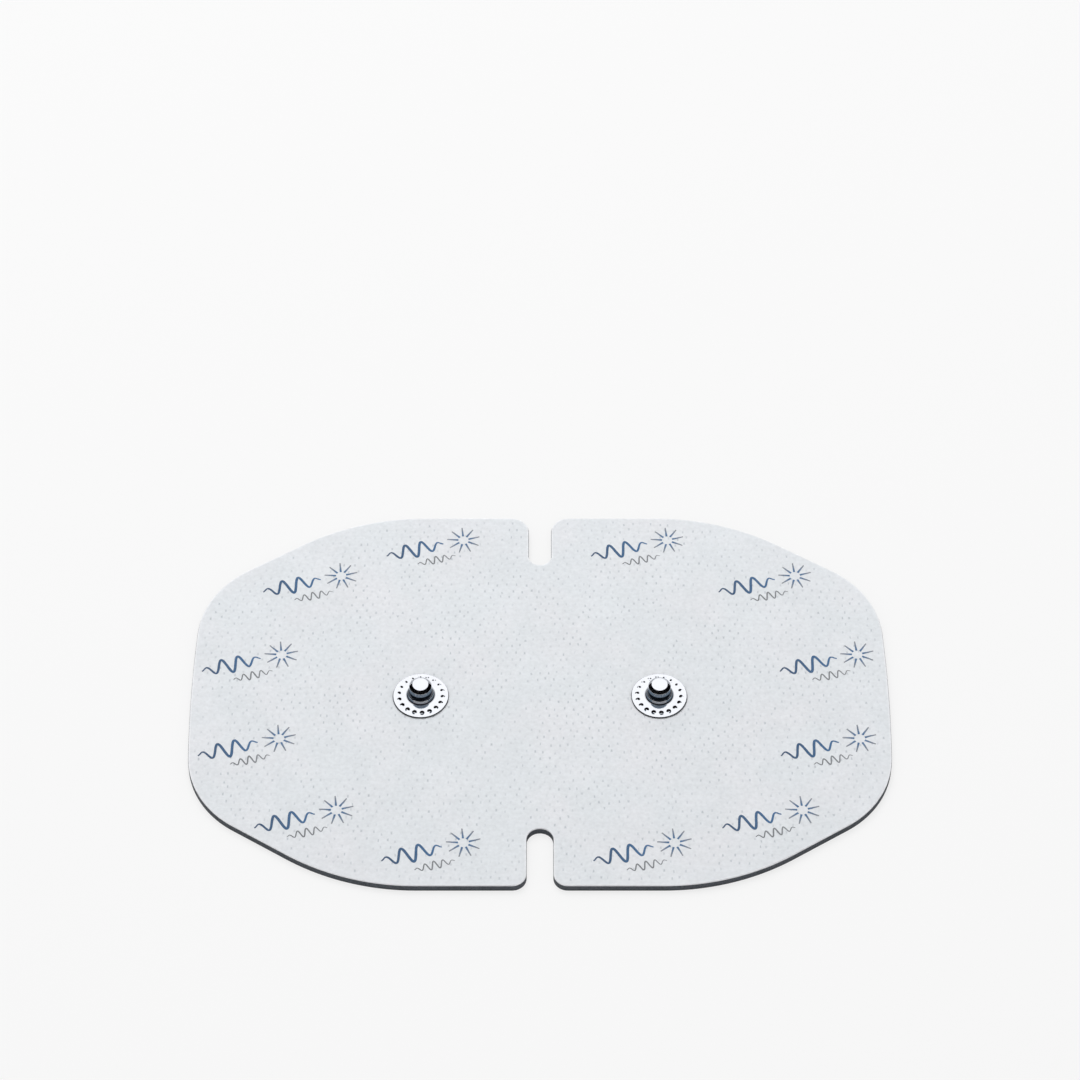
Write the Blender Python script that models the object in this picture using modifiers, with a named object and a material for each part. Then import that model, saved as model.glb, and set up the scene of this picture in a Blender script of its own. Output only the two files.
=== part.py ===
# Twin-snap electrode pad: a flexible laminate with two conductive poles, each
# with a metal snap stud on top and a skin gel below.
#
# Metres, +Z up. The origin is the centre of the underside, +X runs along the
# pad towards the right-hand snap, and the gels' skin faces lie at Z = 0.

import math

import bmesh
import bpy
from mathutils import Vector

# Outline of the pad
PAD_LENGTH = 0.1245
PAD_WIDTH = 0.0833
SIDE_HEIGHT = 0.0286  # length of the bowed stretch at each end
SIDE_RADIUS = 0.308
CORNER_RADIUS = 0.0184
SHOULDER_RADIUS = 0.0419
SHOULDER_SLOPE = math.radians(32.5)

# Flex notches in the middle of both long edges; the front one is a little larger
BACK_NOTCH_WIDTH = 0.00413
BACK_NOTCH_DEPTH = 0.0113
BACK_MOUTH_RADIUS = 0.0033
FRONT_NOTCH_WIDTH = 0.00459
FRONT_NOTCH_DEPTH = 0.0121
FRONT_MOUTH_RADIUS = 0.0025

# Layers, from the skin upwards
GEL_THICKNESS = 0.00108
FILM_THICKNESS = 0.00013
COVER_THICKNESS = 0.00025
BOND = 0.00002  # adhesive line between two faces that are stuck together

# Foam frame and what is die-cut to fit its two windows
FOAM_RIM = 0.004
WINDOW_CORNER_RADIUS = 0.003
DIE_CLEARANCE = 0.0003
COVER_EDGE_RADIUS = 0.00012
GEL_EDGE_RADIUS = 0.0002

# Snap studs: heights are stacked upwards from the flange
SNAP_SPACING = 0.0425
SNAP_OFFSET = -0.0005  # the snaps sit a little in front of the pad's middle
SHEET = 0.0003
FLANGE_RADIUS = 0.005
FLANGE_RISE = 0.00027  # how far the flange's middle stands above its rim
FLANGE_FILLET = 0.00012
SHOULDER_HEIGHT = 0.0011
NECK_RISE = 0.0004
BELLY_RISE = 0.00105
CROWN_RISE = 0.00065
HEAD_RADIUS = 0.001975
CROWN_ROUNDING = 0.00045
NECK_GROOVE = 0.00025  # how far the neck lies inside the head
NECK_FILLET = 0.0002
SKIRT_STEP = 0.000705  # how far the skirt stands out from the neck
SKIRT_ROUNDING = 0.00055

# Ring of dents pressed into each flange
DENT_COUNT = 18
DENT_TURN = math.radians(-5.5)  # where the first dent stands, from +X
DENT_MARGIN = 0.001  # rim of the flange to the centre of a dent
DENT_RADIUS = 0.0004
DENT_DEPTH = 0.00012

# Eyelets swaged into the studs, and the insulating patches under them
POST_CLEARANCE = 0.00005
HOLE_CLEARANCE = 0.0001
EYELET_WALL = 0.0003
EYELET_FLANGE_RADIUS = 0.0042
EYELET_FLANGE_THICKNESS = 0.00025
PATCH_RADIUS = 0.0075
PATCH_THICKNESS = 0.00008
PATCH_RAMP = 0.0006

# Facets
RIM_ARC_STEP = math.radians(6.0)
NOTCH_ARC_STEP = math.radians(18.0)
STUD_STEPS = 36
EYELET_STEPS = 24
PATCH_STEPS = 32
HOLE_POINTS = 24
DENT_SEGMENTS = 8
OUTSIDE_POINTS = 5  # points in each curve of the stud's outer skin
INSIDE_POINTS = 3
RIM_POINTS = 4
RIM_SEGMENTS = 2
SMOOTH_ANGLE = math.radians(35)
MERGE = 1e-7

# Levels that follow from the layers
FILM_BOTTOM = GEL_THICKNESS + BOND
FILM_TOP = FILM_BOTTOM + FILM_THICKNESS
COVER_BOTTOM = FILM_TOP + BOND
COVER_TOP = COVER_BOTTOM + COVER_THICKNESS
FLANGE_BOTTOM = COVER_TOP + BOND
FLANGE_TOP = FLANGE_BOTTOM + SHEET
EYELET_TOP = FILM_BOTTOM - BOND
EYELET_BOTTOM = EYELET_TOP - EYELET_FLANGE_THICKNESS

# Half the widest stretch that the notches take from the long edges, without and with their mouths
NOTCH_REACH = max(BACK_NOTCH_WIDTH, FRONT_NOTCH_WIDTH) / 2
MOUTH_REACH = max(
    BACK_NOTCH_WIDTH / 2 + BACK_MOUTH_RADIUS, FRONT_NOTCH_WIDTH / 2 + FRONT_MOUTH_RADIUS
)

# Radii that follow from the stud's head
NECK_RADIUS = HEAD_RADIUS - NECK_GROOVE
SKIRT_RADIUS = NECK_RADIUS + SKIRT_STEP
POST_RADIUS = NECK_RADIUS - SHEET - POST_CLEARANCE
HOLE_RADIUS = POST_RADIUS + HOLE_CLEARANCE


def clear_scene():
    for obj in list(bpy.data.objects):
        bpy.data.objects.remove(obj, do_unlink=True)


def new_collection(name):
    collection = bpy.data.collections.new(name)
    bpy.context.scene.collection.children.link(collection)
    return collection


def material(name, color, roughness, metallic=0.0):
    mat = bpy.data.materials.new(name)
    mat.use_nodes = True
    shader = mat.node_tree.nodes["Principled BSDF"]
    shader.inputs["Base Color"].default_value = (*color, 1.0)
    shader.inputs["Roughness"].default_value = roughness
    shader.inputs["Metallic"].default_value = metallic
    return mat


def smooth(mesh):
    mesh.shade_smooth()
    mesh.set_sharp_from_angle(angle=SMOOTH_ANGLE)


# Outlines

def arc(center, radius, start, end, step):
    """Points along an arc from one angle to another, with both ends."""
    count = max(1, math.ceil(abs(end - start) / step - 1e-6))
    angles = [start + (end - start) * i / count for i in range(count + 1)]
    return [(center[0] + radius * math.cos(a), center[1] + radius * math.sin(a)) for a in angles]


def rim_arcs():
    """The three tangent arcs of one quarter: bowed side, corner and shoulder."""
    half_length = PAD_LENGTH / 2
    half_width = PAD_WIDTH / 2
    lean = math.asin(SIDE_HEIGHT / 2 / SIDE_RADIUS)
    steep = math.pi / 2 - SHOULDER_SLOPE
    normal = Vector((math.cos(steep), math.sin(steep)))
    along = Vector((-normal.y, normal.x))

    side_center = Vector((half_length - SIDE_RADIUS, 0.0))
    headroom = half_width - SIDE_HEIGHT / 2
    corner_radius = min(CORNER_RADIUS, headroom / (normal.y - math.sin(lean)))
    reach = SIDE_RADIUS - corner_radius
    corner_center = side_center + reach * Vector((math.cos(lean), math.sin(lean)))

    # The slope leaves the corner and would meet the long edge at the vertex
    slope_start = corner_center + corner_radius * normal
    slope_length = (half_width - slope_start.y) / along.y
    vertex = slope_start + slope_length * along
    tangent = math.tan(SHOULDER_SLOPE / 2)
    room = min(slope_length, vertex.x - MOUTH_REACH)
    shoulder_radius = min(SHOULDER_RADIUS, room / tangent)
    shoulder_center = Vector((vertex.x - shoulder_radius * tangent, half_width - shoulder_radius))
    return [
        (side_center, SIDE_RADIUS, 0.0, lean),
        (corner_center, corner_radius, lean, steep),
        (shoulder_center, shoulder_radius, steep, math.pi / 2),
    ]


def rim_quarter(inset):
    """One quarter of the rim, from the side's middle to the long edge."""
    points = []
    for center, radius, start, end in rim_arcs():
        points += arc(center, radius - inset, start, end, RIM_ARC_STEP)
    return points


def without_repeats(points):
    kept = []
    for point in points:
        if not kept or math.dist(point, kept[-1]) > MERGE:
            kept.append(point)
    return kept[:-1] if math.dist(kept[0], kept[-1]) < MERGE else kept


def notched_half(notch_width, notch_depth, mouth_radius):
    """The rim of one long half, from the right side's middle round to the left's."""
    half_width = PAD_WIDTH / 2
    half_notch = notch_width / 2
    mouth = (half_notch + mouth_radius, half_width - mouth_radius)
    notch_center = (0.0, half_width - notch_depth + half_notch)
    quarter = rim_quarter(0.0)
    quarter += arc(mouth, mouth_radius, math.pi / 2, math.pi, NOTCH_ARC_STEP)
    quarter += arc(notch_center, half_notch, 0.0, -math.pi / 2, NOTCH_ARC_STEP)
    return quarter + mirrored(reversed(quarter))


def pad_outline():
    """The whole pad, with a flex notch in each long edge."""
    back = notched_half(BACK_NOTCH_WIDTH, BACK_NOTCH_DEPTH, BACK_MOUTH_RADIUS)
    front = notched_half(FRONT_NOTCH_WIDTH, FRONT_NOTCH_DEPTH, FRONT_MOUTH_RADIUS)
    return without_repeats(back + [(x, -y) for x, y in reversed(front)])


def window_outline(clearance=0.0):
    """The right-hand window of the foam frame, or a blank cut to fit it."""
    inset = FOAM_RIM + clearance
    inner = NOTCH_REACH + inset
    radius = WINDOW_CORNER_RADIUS - clearance
    center = (inner + radius, PAD_WIDTH / 2 - inset - radius)
    quarter = rim_quarter(inset)
    quarter += arc(center, radius, math.pi / 2, math.pi, NOTCH_ARC_STEP)
    front = [(x, -y) for x, y in reversed(quarter)]
    return without_repeats(quarter + front)


def snap_hole(x):
    """The punched hole that a snap's post passes through."""
    step = 2 * math.pi / HOLE_POINTS
    return arc((x, SNAP_OFFSET), HOLE_RADIUS, 0.0, 2 * math.pi, step)[:-1]


def mirrored(points):
    return [(-x, y) for x, y in points]


# Die-cut sheets

def blank(name, outlines, bottom, thickness, collection):
    """A flat sheet cut to the outlines: the first is its rim, the rest are holes."""
    curve = bpy.data.curves.new(name, "CURVE")
    curve.dimensions = "2D"
    curve.fill_mode = "BOTH"
    curve.extrude = thickness / 2
    for points in outlines:
        spline = curve.splines.new("POLY")
        spline.points.add(len(points) - 1)
        for point, (x, y) in zip(spline.points, points):
            point.co = (x, y, 0.0, 1.0)
        spline.use_cyclic_u = True
    flat = bpy.data.objects.new(name + "_curve", curve)
    flat.location.z = bottom + thickness / 2
    collection.objects.link(flat)
    bpy.context.view_layer.update()
    graph = bpy.context.evaluated_depsgraph_get()
    mesh = bpy.data.meshes.new_from_object(flat.evaluated_get(graph))
    mesh.name = name
    bm = bmesh.new()
    bm.from_mesh(mesh)
    bmesh.ops.remove_doubles(bm, verts=bm.verts, dist=MERGE)
    bmesh.ops.recalc_face_normals(bm, faces=bm.faces)
    bm.to_mesh(mesh)
    bm.free()
    smooth(mesh)
    obj = bpy.data.objects.new(name, mesh)
    obj.matrix_world = flat.matrix_world.copy()
    collection.objects.link(obj)
    bpy.data.objects.remove(flat, do_unlink=True)
    return obj


def round_rim(obj, side, radius):
    """Rounds the cut edges of a sheet's top face (side 1) or bottom face (side -1)."""
    bm = bmesh.new()
    bm.from_mesh(obj.data)
    bmesh.ops.dissolve_limit(
        bm, angle_limit=math.radians(1), verts=bm.verts, edges=bm.edges, delimit=set()
    )
    rim = [
        edge
        for edge in bm.edges
        if all(side * vert.co.z > 0 for vert in edge.verts)
        and edge.calc_face_angle(0.0) > math.radians(60)
    ]
    bmesh.ops.bevel(
        bm,
        geom=rim,
        offset=radius,
        segments=RIM_SEGMENTS,
        profile=0.5,
        affect="EDGES",
        clamp_overlap=True,
    )
    bmesh.ops.triangulate(bm, faces=[f for f in bm.faces if len(f.verts) > 4])
    bm.to_mesh(obj.data)
    bm.free()
    smooth(obj.data)


# Turned and drawn pieces

def revolve(name, profile, steps, collection, x, z=0.0):
    """Turns a profile of (radius, height) points about a snap's vertical axis."""
    mesh = bpy.data.meshes.new(name)
    edges = [(i, i + 1) for i in range(len(profile) - 1)]
    mesh.from_pydata([(r, 0.0, h) for r, h in profile], edges, [])
    obj = bpy.data.objects.new(name, mesh)
    obj.location = (x, SNAP_OFFSET, z)
    collection.objects.link(obj)
    turn = obj.modifiers.new("turn", "SCREW")
    turn.axis = "Z"
    turn.angle = 2 * math.pi
    turn.steps = steps
    turn.render_steps = steps
    turn.use_merge_vertices = True
    turn.merge_threshold = MERGE
    return obj


def apply_modifiers(obj):
    bpy.context.view_layer.update()
    graph = bpy.context.evaluated_depsgraph_get()
    mesh = bpy.data.meshes.new_from_object(obj.evaluated_get(graph))
    mesh.name = obj.name
    obj.modifiers.clear()
    obj.data = mesh
    smooth(mesh)


def ellipse(center, radius, height, start, end, count):
    """Points of an elliptical arc in a (radius, height) profile."""
    angles = [start + (end - start) * i / count for i in range(count + 1)]
    return [(center[0] + radius * math.cos(a), center[1] + height * math.sin(a)) for a in angles]


def head_line(inset, count):
    """The stud's head from its axis down to the neck, drawn in by an inset."""
    quarter = math.pi / 2
    neck_z = SHOULDER_HEIGHT + NECK_RISE
    belly_z = neck_z + BELLY_RISE
    crown = ellipse(
        (HEAD_RADIUS - CROWN_ROUNDING, belly_z),
        CROWN_ROUNDING - inset,
        CROWN_RISE - inset,
        quarter,
        0.0,
        count,
    )
    groove = []
    for i in range(1, count + 1):
        share = i / count
        depth = NECK_GROOVE * (1 - math.cos(math.pi * share)) / 2
        groove.append((HEAD_RADIUS - inset - depth, belly_z - BELLY_RISE * share))
    return [(0.0, belly_z + CROWN_RISE - inset)] + crown + groove


def skirt_line(inset, count):
    """The rest of the stud's side, from below the neck down to the flange."""
    quarter = math.pi / 2
    hollow = (NECK_RADIUS + NECK_FILLET, SHOULDER_HEIGHT + NECK_RISE)
    dome = (SKIRT_RADIUS - SKIRT_ROUNDING, SHOULDER_HEIGHT - SKIRT_ROUNDING)
    fillet = (SKIRT_RADIUS + FLANGE_FILLET, FLANGE_RISE + FLANGE_FILLET)
    return (
        ellipse(hollow, NECK_FILLET + inset, NECK_RISE + inset, 2 * quarter, 3 * quarter, count)[1:]
        + ellipse(dome, SKIRT_ROUNDING - inset, SKIRT_ROUNDING - inset, quarter, 0.0, count)
        + ellipse(fillet, FLANGE_FILLET + inset, FLANGE_FILLET + inset, 2 * quarter, 3 * quarter, 2)
    )


def stud_profile():
    """A drawn sheet-metal stud: outer skin, rolled flange rim and hollow inside."""
    rim = ellipse(
        (FLANGE_RADIUS - SHEET / 2, -SHEET / 2),
        SHEET / 2,
        SHEET / 2,
        math.pi / 2,
        -math.pi / 2,
        RIM_POINTS,
    )
    outside = head_line(0.0, OUTSIDE_POINTS) + skirt_line(0.0, OUTSIDE_POINTS - 1)
    inside = head_line(SHEET, INSIDE_POINTS) + skirt_line(SHEET, INSIDE_POINTS - 1)
    return without_repeats(outside + rim + inside[::-1])


def dent_cutter(name, x, collection):
    """A ring of balls, each of which leaves one shallow dent in the flange."""
    ball = (DENT_RADIUS ** 2 + DENT_DEPTH ** 2) / (2 * DENT_DEPTH)
    ring = FLANGE_RADIUS - DENT_MARGIN
    slope = FLANGE_RISE / (FLANGE_RADIUS - SKIRT_RADIUS)
    height = slope * DENT_MARGIN + ball - DENT_DEPTH
    bm = bmesh.new()
    for i in range(DENT_COUNT):
        angle = DENT_TURN + 2 * math.pi * i / DENT_COUNT
        made = bmesh.ops.create_uvsphere(
            bm, u_segments=DENT_SEGMENTS, v_segments=DENT_SEGMENTS, radius=ball
        )
        place = (ring * math.cos(angle), ring * math.sin(angle), height)
        bmesh.ops.translate(bm, verts=made["verts"], vec=place)
    mesh = bpy.data.meshes.new(name)
    bm.to_mesh(mesh)
    bm.free()
    obj = bpy.data.objects.new(name, mesh)
    obj.location = (x, SNAP_OFFSET, FLANGE_TOP)
    obj.hide_render = True
    obj.display_type = "WIRE"
    collection.objects.link(obj)
    return obj


def cut(obj, cutter):
    boolean = obj.modifiers.new("cut", "BOOLEAN")
    boolean.operation = "DIFFERENCE"
    boolean.solver = "EXACT"
    boolean.object = cutter


def snap_stud(name, x, parts, cutters):
    stud = revolve(name, stud_profile(), STUD_STEPS, parts, x, FLANGE_TOP)
    cut(stud, dent_cutter(name + "_dents", x, cutters))
    apply_modifiers(stud)
    return stud


def eyelet_profile():
    """A flat flange and a hollow post whose end is swaged out inside the stud."""
    post = head_line(SHEET + POST_CLEARANCE, INSIDE_POINTS)
    post_top = post[0][1] + FLANGE_TOP
    rounding = EYELET_FLANGE_THICKNESS / 2
    rim = ellipse(
        (EYELET_FLANGE_RADIUS - rounding, EYELET_TOP - rounding),
        rounding,
        rounding,
        math.pi / 2,
        -math.pi / 2,
        RIM_POINTS,
    )
    bore = POST_RADIUS - EYELET_WALL
    bore_top = post_top - EYELET_WALL
    return without_repeats(
        [(r, h + FLANGE_TOP) for r, h in post]
        + [(POST_RADIUS, EYELET_TOP)]
        + rim
        + [(bore, EYELET_BOTTOM), (bore, bore_top), (0.0, bore_top)]
    )


def patch_line(drop):
    """The draped face of a patch from its centre outwards, lowered by a drop."""
    hub = EYELET_FLANGE_RADIUS + HOLE_CLEARANCE
    low = EYELET_BOTTOM - BOND - drop
    high = FILM_BOTTOM - BOND - drop
    return [(0.0, low), (hub, low), (hub + PATCH_RAMP, high), (PATCH_RADIUS, high)]


def patch_profile():
    return patch_line(0.0) + patch_line(PATCH_THICKNESS)[::-1]


def recess_profile():
    """What a gel leaves free for the patch and the eyelet's flange above it."""
    floor = patch_line(PATCH_THICKNESS + BOND)
    edge = PATCH_RADIUS + HOLE_CLEARANCE
    top = FILM_BOTTOM + PATCH_THICKNESS
    return [(0.0, top), (edge, top), (edge, floor[-1][1])] + floor[-2::-1]


def gel_pad(name, outline, x, parts, cutters):
    """A slab of gel, relieved on top around its snap's eyelet."""
    gel = blank(name, [outline], 0.0, GEL_THICKNESS, parts)
    round_rim(gel, -1, GEL_EDGE_RADIUS)
    recess = revolve(name + "_recess", recess_profile(), PATCH_STEPS, cutters, x)
    recess.hide_render = True
    recess.display_type = "WIRE"
    cut(gel, recess)
    apply_modifiers(gel)
    return gel


def build():
    clear_scene()
    parts = new_collection("tens_electrode_pad")
    cutters = new_collection("cutters")

    nonwoven = material("nonwoven_white", (0.77, 0.80, 0.83), 0.85)
    foam = material("foam_slate", (0.045, 0.05, 0.06), 0.8)
    carbon = material("carbon_film", (0.012, 0.012, 0.014), 0.45)
    hydrogel = material("hydrogel", (0.35, 0.42, 0.45), 0.12)
    nickel = material("bright_nickel", (0.78, 0.78, 0.80), 0.12, 1.0)
    tinned = material("tinned_brass", (0.62, 0.60, 0.55), 0.3, 1.0)
    tape = material("patch_tape", (0.85, 0.85, 0.82), 0.5)

    rim = pad_outline()
    window = window_outline()
    fitted = window_outline(DIE_CLEARANCE)
    half_spacing = SNAP_SPACING / 2
    holes = [snap_hole(side * half_spacing) for side in (-1, 1)]

    foam_frame = blank("foam_frame", [rim, window, mirrored(window)], 0.0, FILM_TOP, parts)
    foam_frame.data.materials.append(foam)

    cover = blank("cover_sheet", [rim, *holes], COVER_BOTTOM, COVER_THICKNESS, parts)
    round_rim(cover, 1, COVER_EDGE_RADIUS)
    cover.data.materials.append(nonwoven)

    for side, label in ((-1, "left"), (1, "right")):
        x = side * half_spacing
        outline = fitted if side > 0 else mirrored(fitted)

        film_outlines = [outline, snap_hole(x)]
        film = blank("carbon_film_" + label, film_outlines, FILM_BOTTOM, FILM_THICKNESS, parts)
        film.data.materials.append(carbon)

        gel = gel_pad("gel_pad_" + label, outline, x, parts, cutters)
        gel.data.materials.append(hydrogel)

        patch = revolve("insulating_patch_" + label, patch_profile(), PATCH_STEPS, parts, x)
        apply_modifiers(patch)
        patch.data.materials.append(tape)

        eyelet = revolve("snap_eyelet_" + label, eyelet_profile(), EYELET_STEPS, parts, x)
        apply_modifiers(eyelet)
        eyelet.data.materials.append(tinned)

        stud = snap_stud("snap_stud_" + label, x, parts, cutters)
        stud.data.materials.append(nickel)


build()
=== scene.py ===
import math

import bmesh
import bpy
from mathutils import Matrix, Vector, noise
from mathutils.bvhtree import BVHTree


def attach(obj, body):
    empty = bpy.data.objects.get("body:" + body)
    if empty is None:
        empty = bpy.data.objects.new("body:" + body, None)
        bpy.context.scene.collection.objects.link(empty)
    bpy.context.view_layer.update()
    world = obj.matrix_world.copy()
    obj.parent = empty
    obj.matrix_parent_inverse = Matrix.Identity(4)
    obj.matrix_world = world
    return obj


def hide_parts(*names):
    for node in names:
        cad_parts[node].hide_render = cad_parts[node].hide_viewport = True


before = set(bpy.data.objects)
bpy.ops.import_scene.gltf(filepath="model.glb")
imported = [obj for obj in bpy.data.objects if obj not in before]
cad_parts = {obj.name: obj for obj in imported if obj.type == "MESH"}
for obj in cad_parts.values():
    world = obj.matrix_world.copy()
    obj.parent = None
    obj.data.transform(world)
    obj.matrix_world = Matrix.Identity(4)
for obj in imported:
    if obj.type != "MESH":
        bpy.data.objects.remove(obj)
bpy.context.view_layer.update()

scene = bpy.context.scene
scene.view_settings.view_transform = "Standard"
noise.seed_set(5)  # otherwise the clock sets it
mm = 0.001  # sizes below are in millimetres where they are multiplied by this
weld = 0.0001 * mm  # points closer than this are one

# The pad's outline, the same as the solids have
pad = {
    "length": 124.5 * mm,
    "width": 83.3 * mm,
    "sideHeight": 28.6 * mm,
    "sideRadius": 308.0 * mm,
    "cornerRadius": 18.4 * mm,
    "shoulderRadius": 41.9 * mm,
    "shoulderSlope": 32.5,
    "backNotch": {"width": 4.13 * mm, "depth": 11.3 * mm, "mouth": 3.3 * mm},
    "frontNotch": {"width": 4.59 * mm, "depth": 12.1 * mm, "mouth": 2.5 * mm},
    "snapX": 21.25 * mm,
    "snapY": -0.5 * mm,
    "holeRadius": 1.475 * mm,
}

# How many steps each arc of a quarter outline gets
arcSteps = {"side": 6, "corner": 24, "shoulder": 20, "mouth": 10, "notchEnd": 12, "window": 8}


# Small helpers

def makeVert(bm, place):
    return bmesh.ops.create_vert(bm, co=place)["vert"][0]


def swing(bm, vert, centre, degrees, steps):
    made = bmesh.ops.spin(
        bm,
        geom=[vert],
        cent=(centre[0], centre[1], 0.0),
        axis=(0, 0, 1),
        angle=math.radians(degrees),
        steps=steps,
    )
    return [item for item in made["geom_last"] if isinstance(item, bmesh.types.BMVert)][0]


def stretchTo(bm, vert, place):
    end = bmesh.ops.extrude_vert_indiv(bm, verts=[vert])["verts"][0]
    end.co = place
    return end


def mirrorAll(bm, axis):
    bmesh.ops.mirror(
        bm,
        geom=bm.verts[:] + bm.edges[:] + bm.faces[:],
        matrix=Matrix.Identity(4),
        merge_dist=weld,
        axis=axis,
    )
    bmesh.ops.remove_doubles(bm, verts=bm.verts, dist=weld)


def rimArcs():
    half = Vector((pad["length"] / 2, pad["width"] / 2))
    lean = math.asin(pad["sideHeight"] / 2 / pad["sideRadius"])
    slope = math.radians(pad["shoulderSlope"])
    normal = Vector((math.sin(slope), math.cos(slope)))
    along = Vector((-normal.y, normal.x))
    side = Vector((half.x - pad["sideRadius"], 0.0))
    reach = pad["sideRadius"] - pad["cornerRadius"]
    corner = side + reach * Vector((math.cos(lean), math.sin(lean)))
    leave = corner + pad["cornerRadius"] * normal
    vertex = leave + (half.y - leave.y) / along.y * along
    shoulder = Vector(
        (vertex.x - pad["shoulderRadius"] * math.tan(slope / 2), half.y - pad["shoulderRadius"])
    )
    return side, corner, shoulder, normal, math.degrees(lean)


def traceRim(bm, inset):
    side, corner, shoulder, normal, lean = rimArcs()
    steep = 90.0 - pad["shoulderSlope"]
    vert = makeVert(bm, (pad["length"] / 2 - inset, 0.0, 0.0))
    vert = swing(bm, vert, side, lean, arcSteps["side"])
    vert = swing(bm, vert, corner, steep - lean, arcSteps["corner"])
    start = shoulder + (pad["shoulderRadius"] - inset) * normal
    vert = stretchTo(bm, vert, (start.x, start.y, 0.0))
    return swing(bm, vert, shoulder, pad["shoulderSlope"], arcSteps["shoulder"])


def traceNotched(bm, notch):
    halfNotch = notch["width"] / 2
    halfWidth = pad["width"] / 2
    mouth = (halfNotch + notch["mouth"], halfWidth - notch["mouth"])
    endCentre = (0.0, halfWidth - notch["depth"] + halfNotch)
    vert = traceRim(bm, 0.0)
    vert = stretchTo(bm, vert, (mouth[0], halfWidth, 0.0))
    vert = swing(bm, vert, mouth, 90.0, arcSteps["mouth"])
    vert = stretchTo(bm, vert, (halfNotch, endCentre[1], 0.0))
    swing(bm, vert, endCentre, -90.0, arcSteps["notchEnd"])


def tracePad(bm):
    traceNotched(bm, pad["frontNotch"])
    bmesh.ops.scale(bm, vec=(1, -1, 1), verts=bm.verts)
    traceNotched(bm, pad["backNotch"])
    bmesh.ops.remove_doubles(bm, verts=bm.verts, dist=weld)
    mirrorAll(bm, "X")


def traceWindow(bm, clearance):
    inset = foam["rim"] + clearance
    inner = pad["frontNotch"]["width"] / 2 + inset
    radius = foam["windowCorner"] - clearance
    high = pad["width"] / 2 - inset
    vert = traceRim(bm, inset)
    vert = stretchTo(bm, vert, (inner + radius, high, 0.0))
    vert = swing(bm, vert, (inner + radius, high - radius), 90.0, arcSteps["window"])
    stretchTo(bm, vert, (inner, 0.0, 0.0))
    mirrorAll(bm, "Y")


def newPiece(bm, name, material, smoothAngle=35):
    mesh = bpy.data.meshes.new(name)
    bm.to_mesh(mesh)
    bm.free()
    mesh.shade_smooth()
    mesh.set_sharp_from_angle(angle=math.radians(smoothAngle))
    mesh.materials.append(material)
    piece = bpy.data.objects.new(name, mesh)
    scene.collection.objects.link(piece)
    return piece


def cutWith(piece, cutters, smoothAngle=35):
    for cutter in cutters:
        knife = piece.modifiers.new("cut", "BOOLEAN")
        knife.operation = "DIFFERENCE"
        knife.solver = "MANIFOLD"
        knife.object = cutter
    bpy.context.view_layer.update()
    graph = bpy.context.evaluated_depsgraph_get()
    mesh = bpy.data.meshes.new_from_object(piece.evaluated_get(graph))
    mesh.name = piece.name
    piece.modifiers.clear()
    piece.data = mesh
    mesh.shade_smooth()
    mesh.set_sharp_from_angle(angle=math.radians(smoothAngle))
    for cutter in cutters:
        bpy.data.objects.remove(cutter, do_unlink=True)


def turnProfile(bm, points, steps):
    vert = makeVert(bm, (points[0][0], 0.0, points[0][1]))
    for radius, height in points[1:]:
        vert = stretchTo(bm, vert, (radius, 0.0, height))
    bmesh.ops.spin(
        bm,
        geom=bm.verts[:] + bm.edges[:],
        cent=(0, 0, 0),
        axis=(0, 0, 1),
        angle=2 * math.pi,
        steps=steps,
        use_merge=True,
    )
    bmesh.ops.remove_doubles(bm, verts=bm.verts, dist=2 * weld)
    bmesh.ops.recalc_face_normals(bm, faces=bm.faces)


def quarterTurn(centre, radius, height, start, end, count):
    angles = [math.radians(start + (end - start) * i / count) for i in range(count + 1)]
    return [(centre[0] + radius * math.cos(a), centre[1] + height * math.sin(a)) for a in angles]


def roundedLine(corners, count):
    # A line of (radius, height, rounding) corners, with each rounding as an arc
    points = [corners[0][:2]]
    for last, corner, following in zip(corners, corners[1:], corners[2:]):
        here = Vector(corner[:2])
        back = (Vector(last[:2]) - here).normalized()
        ahead = (Vector(following[:2]) - here).normalized()
        half = back.angle(ahead) / 2
        centre = here + (back + ahead).normalized() * corner[2] / math.sin(half)
        first = here + back * corner[2] / math.tan(half) - centre
        turn = first.angle_signed(here + ahead * corner[2] / math.tan(half) - centre)
        for k in range(count + 1):
            spoke = first.copy()
            spoke.rotate(Matrix.Rotation(-turn * k / count, 2))
            points.append(tuple(centre + spoke))
    return points + [corners[-1][:2]]


# Shader helpers and the groups that several finishes share

def addNode(tree, kind, sockets=None, **settings):
    node = tree.nodes.new(kind)
    for key, value in settings.items():
        setattr(node, key, value)
    for key, value in (sockets or {}).items():
        if isinstance(value, bpy.types.NodeSocket):
            tree.links.new(value, node.inputs[key])
        else:
            node.inputs[key].default_value = value
    return node


def newGroup(name, inputs, outputs):
    group = bpy.data.node_groups.new(name, "ShaderNodeTree")
    for label, kind, value in inputs:
        socket = group.interface.new_socket(label, in_out="INPUT", socket_type=kind)
        socket.default_value = value
    for label, kind in outputs:
        group.interface.new_socket(label, in_out="OUTPUT", socket_type=kind)
    return group, group.nodes.new("NodeGroupInput"), group.nodes.new("NodeGroupOutput")


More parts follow.
